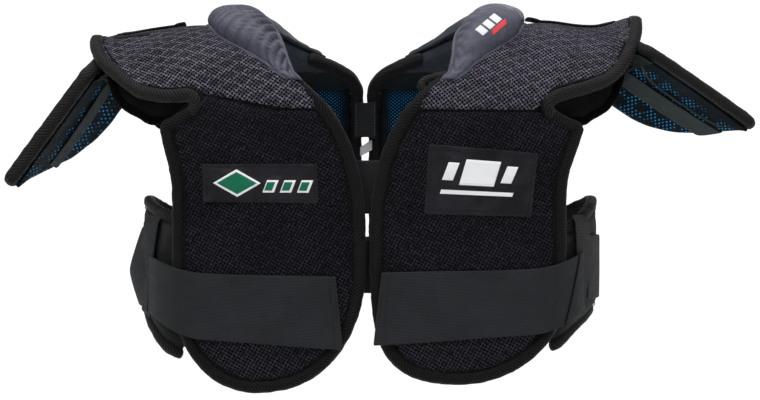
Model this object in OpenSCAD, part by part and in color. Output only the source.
// Padded shoulder protector: two mirrored halves of quilted panels, hinged upper-arm wings,
// side wraps with elastic belly straps, and elastic bridges that join the halves.
// Every half is drawn on the +X side, and the left one is mirrored.

/* [Overall] */
// Depth from the front face of the chest to the rear face of the back
body_depth = 236; // [224:2:248]
// Height of the shoulder arch above the place where the flat panels begin
arch_rise = 95; // [90:1:100]
// Height of the top face of the arch above the wearer's shoulder
arch_top = 36; // [34:1:38]
// How far the panels curve back around the ribs at 200 mm from the middle
rib_wrap = 22; // [18:1:24]
// Length of the flat front, from the arch to the lowest point of the hem
front_length = 278; // [268:1:284]
// Length of the flat back, from the arch to its hem
back_length = 262; // [250:1:270]
// Gap between the two halves at the front
front_gap = 5; // [4:0.5:6]
// Gap between the two halves at the back
back_gap = 9; // [8:0.5:12]

/* [Layers] */
// Thickness of the chest and back foam panels
panel_t = 12; // [10:0.5:12]
// Thickness of the shoulder flap
flap_t = 8; // [7:0.5:8]
// Thickness of the moulded shoulder cup
cup_t = 3; // [2:0.5:3]
// Thickness of the linings
lining_t = 2; // [1.5:0.5:2]
// Radius of the rolled edge binding
binding_r = 5.5; // [4.5:0.5:6]

/* [Neck roll] */
// Half width of the roll at the top of the shoulder
roll_half_w = 31; // [26:1:32]
// Half height of the roll at the top of the shoulder
roll_half_h = 10.5; // [8:0.5:11]

/* [Wings] */
// Length of a wing from its hinge to its tip
wing_len = 152; // [144:1:154]
// Width of a wing at its hinge
wing_w = 112; // [104:1:114]
// Angle of the left wing below horizontal
wing_drop_left = 54; // [50:1:58]
// Angle of the right wing below horizontal
wing_drop_right = 34; // [32:1:38]

/* [Straps] */
// Height of the belly elastic at its free end
belly_h = 73; // [66:1:76]
// Thickness of the belly elastic
belly_t = 2.4; // [2:0.2:2.6]
// Width of the tab that holds each shoulder flap down
tab_w = 30; // [24:1:34]

/* [Hidden] */

LEFT = -1;
RIGHT = 1;
half_depth = body_depth / 2;
arch_z = arch_top - arch_rise;
arch_len = PI * sqrt((half_depth * half_depth + arch_rise * arch_rise) / 2);
crest = arch_len / 2;
seam_q = 12;                 // where the chest meets the shoulder flap
edge_in = 3;                 // how far a panel's own edge lies inside its binding
clear = 0.3;                 // gap between neighbouring layers
cup_top = -flap_t - 1;
cap_top = -15;               // outer face of the inner cap
cap_t = 6;
pad_top = cap_top - cap_t - 0.8;
lining_top = -panel_t - 0.6;
roll_start = 44;
roll_end = 252;
hinge_x = 278;
hinge_z_left = -6;
hinge_z_right = 16;
wing_front_y = -49;
wing_root = 5;               // how far the pad starts below its hinge line
wing_bulge = 10;
wing_pad_t = 8;
keeper_a = 132;              // where the strap keeper is sewn, in degrees round the side wrap
strap_n = 3.4;               // height of the belly strap above the chest

fabric = [0.10, 0.10, 0.12];
trim = [0.19, 0.19, 0.20];
satin = [0.30, 0.31, 0.37];
teal = [0.08, 0.15, 0.19];
elastic = [0.18, 0.19, 0.20];

// ---- the curved surface that every body panel lies on ----
// q runs over the shoulder: below 0 on the flat front, 0 to arch_len on the arch, then down the back.
// x is the distance from the middle, and n the height above the outer face.

function smooth(t) = let(s = min(1, max(0, t))) s * s * (3 - 2 * s);
function mix(a, b, t) = a + (b - a) * t;
function unit(v) = v / norm(v);
function steps(count) = [for (i = [0 : count]) i / count];

function profile(q) =
    q < 0 ? [-half_depth, arch_z + q] :
    q > arch_len ? [half_depth, arch_z - (q - arch_len)] :
    let(a = 180 * q / arch_len) [-half_depth * cos(a), arch_z + arch_rise * sin(a)];
function profile_normal(q) =
    let(a = 180 * min(1, max(0, q / arch_len))) unit([-arch_rise * cos(a), half_depth * sin(a)]);
// the left flap slopes down towards its tip, the right one turns up
function lift(side, x) = side < 0 ? -10 * smooth((x - 172) / 92)
    : 3 * smooth((x - 150) / 30) - 5 * smooth((x - 185) / 45) + 13 * smooth((x - 238) / 44);
function rib_share(x) = 1 - rib_wrap / half_depth * pow(max(0, x - 70) / 130, 2);
function shell(side, x, q, n) =
    let(m = profile_normal(q), p = profile(q) + n * m)
    [x, p[0] * rib_share(x), p[1] + lift(side, x) * max(0, m[1])];
// distance along the path at which the front is at height z
function front_q(z) = z < arch_z ? z - arch_z : asin((z - arch_z) / arch_rise) / 180 * arch_len;

// ---- outlines: distance from the middle of each edge ----

function inner_edge(q) =
    q < 46 ? front_gap / 2 + 70 * pow(max(0, q + 140) / 186, 2.9) :
    q < crest ? 110 - 37 * pow((crest - q) / (crest - 46), 1.5) :
    q < roll_end - 6 ? 110 - 55 * pow((q - crest) / (roll_end - 6 - crest), 2) :
    back_gap / 2 + (55 - back_gap / 2) * pow(max(0, 1 - (q - roll_end + 6) / 60), 2.6);
// the two armholes and the two chest lobes differ a little
function chest_edge(side, q) = (side < 0 ? 197 : 201) + (side < 0 ? 13 : 18) * smooth((q + 75) / 68);
function flap_edge(q) = 242 + 47 * (1 - pow(min(1, abs(crest - q) / (crest - seam_q)), 2.8));
function cap_edge(q) = 215 + 47 * (1 - pow(min(1, abs(crest - q) / (crest + 6)), 6));
function back_edge(q) = 195 - 6 * smooth((q - arch_len) / back_length);
// how far a rounded hem hangs below its corners, as a share, u from the inner to the outer corner
function lobe(u) = pow(max(0, 1 - pow(abs(2 * u - 1), 2.3)), 0.58);
function chest_hem(side, u) =
    [mix(inner_edge(-163), chest_edge(side, -186), u),
     mix(-163, -186, u) - (front_length - (side < 0 ? 174 : 179)) * lobe(pow(u, side < 0 ? 1.1 : 0.76))];
function back_hem(u) =
    [mix(back_gap / 2, back_edge(arch_len + back_length), u),
     arch_len + back_length - 91 + 91 * lobe(u)];
function chest_top(u) = seam_q - 19 * smooth((mix(40, 208, u) - 160) / 50);

// ---- solids made from those surfaces ----

// A closed sheet between two skins: at(u, v, k) gives a point, k = 0 inside and 1 outside.
module sheet(at, cols, rows) {
    w = cols + 1;
    layer = w * (rows + 1);
    points = [for (k = [0, 1], j = [0 : rows], i = [0 : cols]) at(i / cols, j / rows, k)];
    function cell(i, j, k) = let(a = k * layer + j * w + i) [a, a + 1, a + w + 1, a + w];
    function halves(f) = [[f[0], f[1], f[2]], [f[0], f[2], f[3]]];
    function turned(f) = [f[3], f[2], f[1], f[0]];
    inside = [for (j = [0 : rows - 1], i = [0 : cols - 1]) each halves(cell(i, j, 0))];
    outside = [for (j = [0 : rows - 1], i = [0 : cols - 1]) each halves(turned(cell(i, j, 1)))];
    function side_quad(a, b) = halves([a, a + layer, b + layer, b]);
    low = [for (i = [0 : cols - 1]) each side_quad(i, i + 1)];
    high = [for (i = [0 : cols - 1]) each side_quad(rows * w + i + 1, rows * w + i)];
    near = [for (j = [0 : rows - 1]) each side_quad((j + 1) * w, j * w)];
    far = [for (j = [0 : rows - 1]) each side_quad(j * w + cols, (j + 1) * w + cols)];
    polyhedron(points, concat(inside, outside, low, high, near, far), convexity = 6);
}

// A closed solid through a row of rings of points, capped at both ends.
module loft(rings) {
    m = len(rings[0]);
    last = len(rings) - 1;
    wall = [for (i = [0 : last - 1], j = [0 : m - 1])
        let(a = i * m + j, b = i * m + (j + 1) % m) each [[a, b, b + m], [a, b + m, a + m]]];
    caps = concat([for (j = [1 : m - 2]) [0, j + 1, j]],
        [for (j = [1 : m - 2]) [last * m, last * m + j, last * m + j + 1]]);
    polyhedron([for (r = rings) each r], concat(wall, caps), convexity = 8);
}

// A round tube along points, with a facing direction for each.
module tube(points, facing, r, sides = 6) {
    last = len(points) - 1;
    loft([for (i = [0 : last])
        let(t = unit(points[min(last, i + 1)] - points[max(0, i - 1)]),
            a = unit(cross(t, facing[i])), b = cross(t, a))
        [for (s = [0 : sides - 1]) points[i] + r * (cos(360 * s / sides) * a + sin(360 * s / sides) * b)]]);
}

// Moves an outline of [x, q] points towards its left-hand side.
function inset(line, d) = let(last = len(line) - 1) [for (i = [0 : last])
    let(t = unit(line[min(last, i + 1)] - line[max(0, i - 1)])) line[i] + d * [-t[1], t[0]]];
function facing_at(q) = let(m = profile_normal(q)) [0, m[0], m[1]];

module edge_tube(side, line, n, r) {
    tube([for (p = line) shell(side, p[0], p[1], n)], [for (p = line) facing_at(p[1])], r);
}

// A patch of the body surface: at(u, v) gives [x, q], between the heights n_in and n_out.
module body_patch(side, at, n_in, n_out, cols, rows) {
    sheet(function(u, v, k) let(p = at(u, v)) shell(side, p[0], p[1], mix(n_in, n_out, k)), cols, rows);
}

// A vertical ribbon along a path of [x, y] points: z(t) and h(t) give its middle and half height.
module ribbon(path, z, h, thick) {
    last = len(path) - 1;
    function out(i) = let(t = unit(path[min(last, i + 1)] - path[max(0, i - 1)])) [t[1], -t[0]];
    sheet(function(u, v, k) let(i = round(u * last), p = path[i] + thick * k * out(i))
        [p[0], p[1], z(u) + (2 * v - 1) * h(u)], last, 1);
}

module place(side) {
    if (side < 0) mirror([1, 0, 0]) children();
    else children();
}

// ---- chest ----

function chest_at(side, u, v, d) =
    let(hem = chest_hem(side, u), q = mix(hem[1] + d, chest_top(u) - (d > edge_in ? d : clear), v),
        qi = mix(chest_hem(side, 0)[1], seam_q, v), qo = mix(chest_hem(side, 1)[1], chest_top(1), v))
    [mix(inner_edge(qi) + d, chest_edge(side, qo) - d, u), q];
function chest_outline(side) = concat(
    [for (t = steps(10)) let(q = mix(46, -158, t)) [inner_edge(q), q]],
    [for (t = steps(16)) chest_hem(side, 0.01 + 0.98 * t)],
    [for (t = steps(9)) let(q = mix(-178, -18, t)) [chest_edge(side, q), q]],
    [for (t = steps(4)) [mix(chest_edge(side, 0) - 3, 174, t), chest_top(mix(0.98, 0.8, t)) - 2 + 2 * t]]);

module chest_panel(side) {
    color(fabric) place(side)
        body_patch(side, function(u, v) chest_at(side, u, v, edge_in), -panel_t, 0, 10, 11);
}
module chest_lining(side) {
    color(teal) place(side)
        body_patch(side, function(u, v) chest_at(side, u, v, 13), lining_top - lining_t, lining_top, 7, 8);
}
module chest_binding(side) {
    color(trim) place(side)
        edge_tube(side, inset(chest_outline(side), binding_r), -panel_t / 2, binding_r);
}

// ---- shoulder: outer flap, moulded cup, inner cap, arch pad, collar lining and neck roll ----

function flap_at(u, v, d) =
    let(q = mix(seam_q + clear, arch_len - seam_q - clear, v))
    [mix(inner_edge(q) + d, flap_edge(q) - d, u), q];
function flap_outline() = concat(
    [for (t = steps(3)) [mix(172, 222, t), seam_q + 1]],
    [for (t = steps(22)) let(q = mix(seam_q + 5, arch_len - seam_q - 5, t)) [flap_edge(q), q]],
    [for (t = steps(3)) [mix(222, 172, t), arch_len - seam_q - 1]]);
function cap_outline() = concat(
    [for (t = steps(3)) [mix(198, 212, t), -6]],
    [for (t = steps(22)) let(q = mix(-3, arch_len + 3, t)) [cap_edge(q), q]],
    [for (t = steps(3)) [mix(212, 198, t), arch_len + 6]]);

module shoulder_flap(side) {
    color(fabric) place(side)
        body_patch(side, function(u, v) flap_at(u, v, edge_in), -flap_t, 0, 9, 18);
}
module flap_binding(side) {
    color(trim) place(side)
        edge_tube(side, inset(flap_outline(), binding_r), -flap_t / 2, binding_r);
}
module shoulder_cup(side) {
    color([0.25, 0.25, 0.26]) place(side)
        body_patch(side, function(u, v) let(q = mix(46, arch_len - 46, v))
            [mix(118, 228 + 14 * sin(180 * v), u), q], cup_top - cup_t, cup_top, 6, 12);
}
module inner_cap(side) {
    color(fabric) place(side)
        body_patch(side, function(u, v) let(q = mix(-4, arch_len + 4, v))
            [mix(mix(196, 124, smooth(4 * v) * smooth(4 * (1 - v))), cap_edge(q) - edge_in, u), q],
            cap_top - cap_t, cap_top, 6, 18);
}
module inner_cap_binding(side) {
    color(trim) place(side)
        edge_tube(side, inset(cap_outline(), 4), cap_top - cap_t / 2, 4);
}
module arch_pad(side) {
    color([0.13, 0.14, 0.16]) place(side)
        body_patch(side, function(u, v) let(q = mix(58, arch_len - 58, v))
            [mix(116, 204 - 10 * pow(2 * v - 1, 2), u), q], -arch_top, pad_top, 5, 12);
}
module collar_lining(side) {
    color(teal) place(side)
        body_patch(side, function(u, v) let(q = mix(roll_start + 6, roll_end - 8, v))
            [mix(inner_edge(q) + 2, 114, u), q], cup_top - lining_t, cup_top, 4, 16);
}
function roll_share(q) = pow(max(0, sin(180 * (q - roll_start + 2) / (roll_end - roll_start + 4))), 0.8);
module neck_roll(side) {
    color(satin) place(side)
        loft([for (t = steps(26))
            let(q = mix(roll_start, roll_end, t), s = roll_share(q),
                a = mix(5, roll_half_w, s), b = mix(3.5, roll_half_h, s), x = inner_edge(q) + a - 6 * s)
            [for (i = [0 : 11]) shell(side, x + a * cos(30 * i), q, b + clear + b * sin(30 * i))]]);
}

// ---- back ----

function back_at(u, v, d) =
    let(hem = back_hem(u), q = mix(arch_len - seam_q + (d > edge_in ? d : clear), hem[1] - d, v))
    [mix(back_gap / 2 + d, back_edge(q) - d, u), q];
function back_outline() = concat(
    [for (t = steps(7)) let(q = mix(arch_len + 8, back_hem(1)[1] - 6, t)) [back_edge(q), q]],
    [for (t = steps(14)) back_hem(0.99 - 0.98 * t)],
    [for (t = steps(12)) let(q = mix(back_hem(0)[1] - 6, roll_end - 4, t)) [inner_edge(q), q]]);

module back_panel(side) {
    color(fabric) place(side)
        body_patch(side, function(u, v) back_at(u, v, edge_in), -panel_t, 0, 8, 9);
}
module back_lining(side) {
    color(teal) place(side)
        body_patch(side, function(u, v) back_at(u, v, 13), lining_top - lining_t, lining_top, 6, 7);
}
module back_binding(side) {
    color(trim) place(side)
        edge_tube(side, inset(back_outline(), binding_r), -panel_t / 2, binding_r);
}

// ---- upper-arm wings: l runs from the hinge to the tip, w from the front edge to the rear ----

function wing_drop(side) = side < 0 ? wing_drop_left : wing_drop_right;
function wing_turn(side) = side < 0 ? 15 : 30;      // how far the lining faces forward
function wing_l(side) = let(a = wing_drop(side)) [cos(a), 0, -sin(a)];
function wing_n(side) = let(a = wing_drop(side), t = wing_turn(side))
    [sin(a) * cos(t), sin(t), cos(a) * cos(t)];
function wing_w_dir(side) = cross(wing_n(side), wing_l(side));
function wing_corner(side) = [hinge_x + 3, wing_front_y, side < 0 ? hinge_z_left : hinge_z_right];
function wing_rear(l) = max(10, wing_w * (1 - pow(max(0, l - 30) / (wing_len - 27), 2.5)));
function wing_point(side, l, w, n) =
    wing_corner(side) + l * wing_l(side) + w * wing_w_dir(side)
    + (n + wing_bulge * (1 - pow(2 * w / wing_w - 1, 2)) * (1 - 0.5 * l / wing_len)) * wing_n(side);
function wing_at(u, v, d) =
    let(l = mix(wing_root + 20 * v, wing_len - d, u), w = mix(d, wing_rear(l) - d, v)) [l + (1 - u) * d, w];
function wing_outline() = concat(
    [for (t = steps(7)) [mix(wing_root, wing_len - 6, t), 0]],
    [for (t = steps(4)) [wing_len - 4 + 4 * sin(180 * t), mix(2, 9, t)]],
    [for (t = steps(12)) let(l = mix(wing_len - 5, 26, t)) [l, wing_rear(l)]],
    [for (t = steps(5)) [wing_root + mix(18, 1, t), mix(wing_w - 4, 6, t)]]);

module wing_patch(side, at, n_in, n_out, cols, rows) {
    sheet(function(u, v, k) let(p = at(v, u)) wing_point(side, p[0], p[1], mix(n_in, n_out, k)), cols, rows);
}
module wing_pad(side) {
    color(fabric) place(side)
        wing_patch(side, function(u, v) wing_at(u, v, 2), -wing_pad_t, 0, 8, 9);
}
module wing_lining(side) {
    color(teal) place(side)
        wing_patch(side, function(u, v) wing_at(u, v, 10), -wing_pad_t - 2, -wing_pad_t - clear, 7, 8);
}
module wing_binding(side) {
    line = inset(wing_outline(), 4.5);
    color(trim) place(side)
        tube([for (p = line) wing_point(side, p[0], p[1], -wing_pad_t / 2)],
            [for (p = line) wing_n(side)], 4.5);
}
module wing_elastic(side) {
    color(elastic) place(side)
        wing_patch(side, function(u, v) side < 0 ? [mix(14, 106, u), mix(49, 71, v)]
                : [mix(14, 106, u), mix(37, 64, v) + 8 * (1 - u)],
            -wing_pad_t - 4, -wing_pad_t - 2.3, 2, 9);
}

// ---- side wraps and belly straps ----

// a is the angle round the ribs, from 0 at the back panel to 180 behind the chest panel
function side_path(side, a, out) = [186 + ((side < 0 ? 42 : 51) + out) * sin(a), 2 + (78 + out) * cos(a)];
function side_at(side, u, v, out) = let(a = 180 * u, p = side_path(side, a, out))
    [p[0], p[1], mix(-259 - 42 * pow(cos(a), 2), -146 - 18 * pow(cos(a), 2), v)];

module side_panel(side) {
    color(fabric) place(side)
        sheet(function(u, v, k) side_at(side, u, v, mix(-4, 4, k)), 14, 2);
}
// the rolled trim along the top and bottom of the wrap
module side_binding(side) {
    color(trim) place(side) for (v = [0, 1])
        tube([for (t = steps(14)) side_at(side, mix(0.02, 0.98, t), v, 0)],
            [for (t = steps(14)) let(a = 180 * mix(0.02, 0.98, t)) [sin(a), cos(a), 0]], 5);
}
module strap_keeper(side) {
    turns = [keeper_a - 6 : 2 : keeper_a + 2];
    color(elastic) place(side) {
        ribbon([for (a = turns) side_path(side, a, 8.4)], function(t) -213, function(t) 53, 1.8);
        for (z = [-163, -263])
            ribbon([for (a = turns) side_path(side, a, 4.2)], function(t) z, function(t) 3, 4.4);
    }
}
module side_strap(side) {
    color(elastic) place(side)
        sheet(function(u, v, k) let(a = mix(24, keeper_a + 2, u), p = side_path(side, a, 4.6 + belly_t * k
            + 14 * sin(180 * u) * (1 - pow(2 * v - 1, 2))))
            [p[0], p[1], -226 + (2 * v - 1) * mix(34, 30, u)], 14, 4);
}
// the belly strap lies on the chest, then turns back to the keeper
function strap_end_x(side) = side < 0 ? 32 : 12;
function strap_path(side, t) =
    let(last = 188, y = -(half_depth + strap_n) * rib_share(last),
        a = [last, y], b = [last + 26, y + 7], c = side_path(side, keeper_a + 8, 5))
    t < 0.75 ? let(x = mix(strap_end_x(side), last, t / 0.75)) [x, -(half_depth + strap_n) * rib_share(x)]
    : let(s = (t - 0.75) / 0.25) (1 - s) * (1 - s) * a + 2 * s * (1 - s) * b + s * s * c;
function strap_z(t) = -258 + 10 * t + 17 * smooth((t - 0.65) / 0.35);
function strap_half(t) = belly_h / 2 - 3 * smooth(t / 0.6) - 3.5 * smooth((t - 0.65) / 0.35);

module belly_strap(side) {
    color(elastic) place(side)
        ribbon([for (t = steps(20)) strap_path(side, t)], function(t) strap_z(t), function(t) strap_half(t),
            belly_t);
}
function chest_band(x0, x1, z0, z1) = function(u, v) [mix(x0, x1, u), front_q(mix(z0, z1, v))];
module hook_patch(side) {
    color([0.12, 0.12, 0.13]) place(side)
        body_patch(side, chest_band(34, 78, -286, -232), 2, 3.2, 4, 1);
}
module loop_patch(side) {
    color([0.16, 0.16, 0.17]) place(side)
        body_patch(side, chest_band(32, 128, -284, -230), clear, 1.6, 8, 2);
}

// ---- badges, shoulder tabs, bridges and label ----

module badge(side) {
    // corners in x and height: lower inner, lower outer, upper outer, upper inner
    c = side < 0 ? [[50, -148], [165, -147], [166, -109], [51, -109]]
        : [[56, -159], [164, -162], [171, -98], [61, -89]];
    color([0.06, 0.06, 0.08]) place(side)
        body_patch(side, function(u, v) let(p = mix(mix(c[0], c[1], u), mix(c[3], c[2], u), v))
            [p[0], front_q(p[1])], clear, 1.8, 8, 1);
}
function tab_band(x0, x1, w) = function(u, v) [mix(x0, x1, u), crest + (2 * v - 1) * w / 2];
module shoulder_tab(side) {
    color(elastic) place(side)
        body_patch(side, tab_band(side < 0 ? 190 : 168, 262, tab_w), 2.2, 4.2, 10, 2);
}
module tab_patch(side) {
    color([0.12, 0.12, 0.13]) place(side)
        body_patch(side, let(x = side < 0 ? 193 : 171) tab_band(x, x + 28, tab_w - 6), clear, 1.8, 3, 2);
}

module bridge(y, z_low, z_high, half_w) {
    translate([-half_w, y, z_low]) cube([2 * half_w, 1.8, z_high - z_low]);
}
module front_bridges() {
    color(elastic) for (z = [[-161, -103], [-241, -183]])
        bridge(-half_depth + panel_t + lining_t + 1, z[0], z[1], 34);
}
module back_bridges() {
    color(elastic) for (z = [[-241, -183], [-161, -103], [-77, -43]])
        bridge(half_depth - panel_t - lining_t - 3, z[0], z[1], 34);
}
module care_label() {
    color("white") translate([-5, half_depth - panel_t - 2.4, -87]) cube([20, 0.6, 11]);
}

chest_panel(LEFT);  // left_chest_panel
chest_panel(RIGHT);  // right_chest_panel
chest_lining(LEFT);  // left_chest_lining
chest_lining(RIGHT);  // right_chest_lining
chest_binding(LEFT);  // left_chest_binding
chest_binding(RIGHT);  // right_chest_binding
shoulder_flap(LEFT);  // left_shoulder_flap
shoulder_flap(RIGHT);  // right_shoulder_flap
flap_binding(LEFT);  // left_flap_binding
flap_binding(RIGHT);  // right_flap_binding
collar_lining(LEFT);  // left_collar_lining
collar_lining(RIGHT);  // right_collar_lining
shoulder_cup(LEFT);  // left_shoulder_cup
shoulder_cup(RIGHT);  // right_shoulder_cup
inner_cap(LEFT);  // left_inner_cap
inner_cap(RIGHT);  // right_inner_cap
inner_cap_binding(LEFT);  // left_inner_cap_binding
inner_cap_binding(RIGHT);  // right_inner_cap_binding
arch_pad(LEFT);  // left_arch_pad
arch_pad(RIGHT);  // right_arch_pad
neck_roll(LEFT);  // left_neck_roll
neck_roll(RIGHT);  // right_neck_roll
back_panel(LEFT);  // left_back_panel
back_panel(RIGHT);  // right_back_panel
back_lining(LEFT);  // left_back_lining
back_lining(RIGHT);  // right_back_lining
back_binding(LEFT);  // left_back_binding
back_binding(RIGHT);  // right_back_binding
wing_pad(LEFT);  // left_wing_pad
wing_pad(RIGHT);  // right_wing_pad
wing_lining(LEFT);  // left_wing_lining
wing_lining(RIGHT);  // right_wing_lining
wing_binding(LEFT);  // left_wing_binding
wing_binding(RIGHT);  // right_wing_binding
wing_elastic(LEFT);  // left_wing_elastic
wing_elastic(RIGHT);  // right_wing_elastic
side_panel(LEFT);  // left_side_panel
side_panel(RIGHT);  // right_side_panel
side_binding(LEFT);  // left_side_binding
side_binding(RIGHT);  // right_side_binding
strap_keeper(LEFT);  // left_strap_keeper
strap_keeper(RIGHT);  // right_strap_keeper
side_strap(LEFT);  // left_side_strap
side_strap(RIGHT);  // right_side_strap
belly_strap(LEFT);  // left_belly_strap
belly_strap(RIGHT);  // right_belly_strap
hook_patch(LEFT);  // left_hook_patch
hook_patch(RIGHT);  // right_hook_patch
loop_patch(LEFT);  // left_loop_patch
loop_patch(RIGHT);  // right_loop_patch
badge(LEFT);  // left_badge
badge(RIGHT);  // right_badge
shoulder_tab(LEFT);  // left_shoulder_tab
shoulder_tab(RIGHT);  // right_shoulder_tab
tab_patch(LEFT);  // left_tab_patch
tab_patch(RIGHT);  // right_tab_patch
front_bridges();
back_bridges();
care_label();
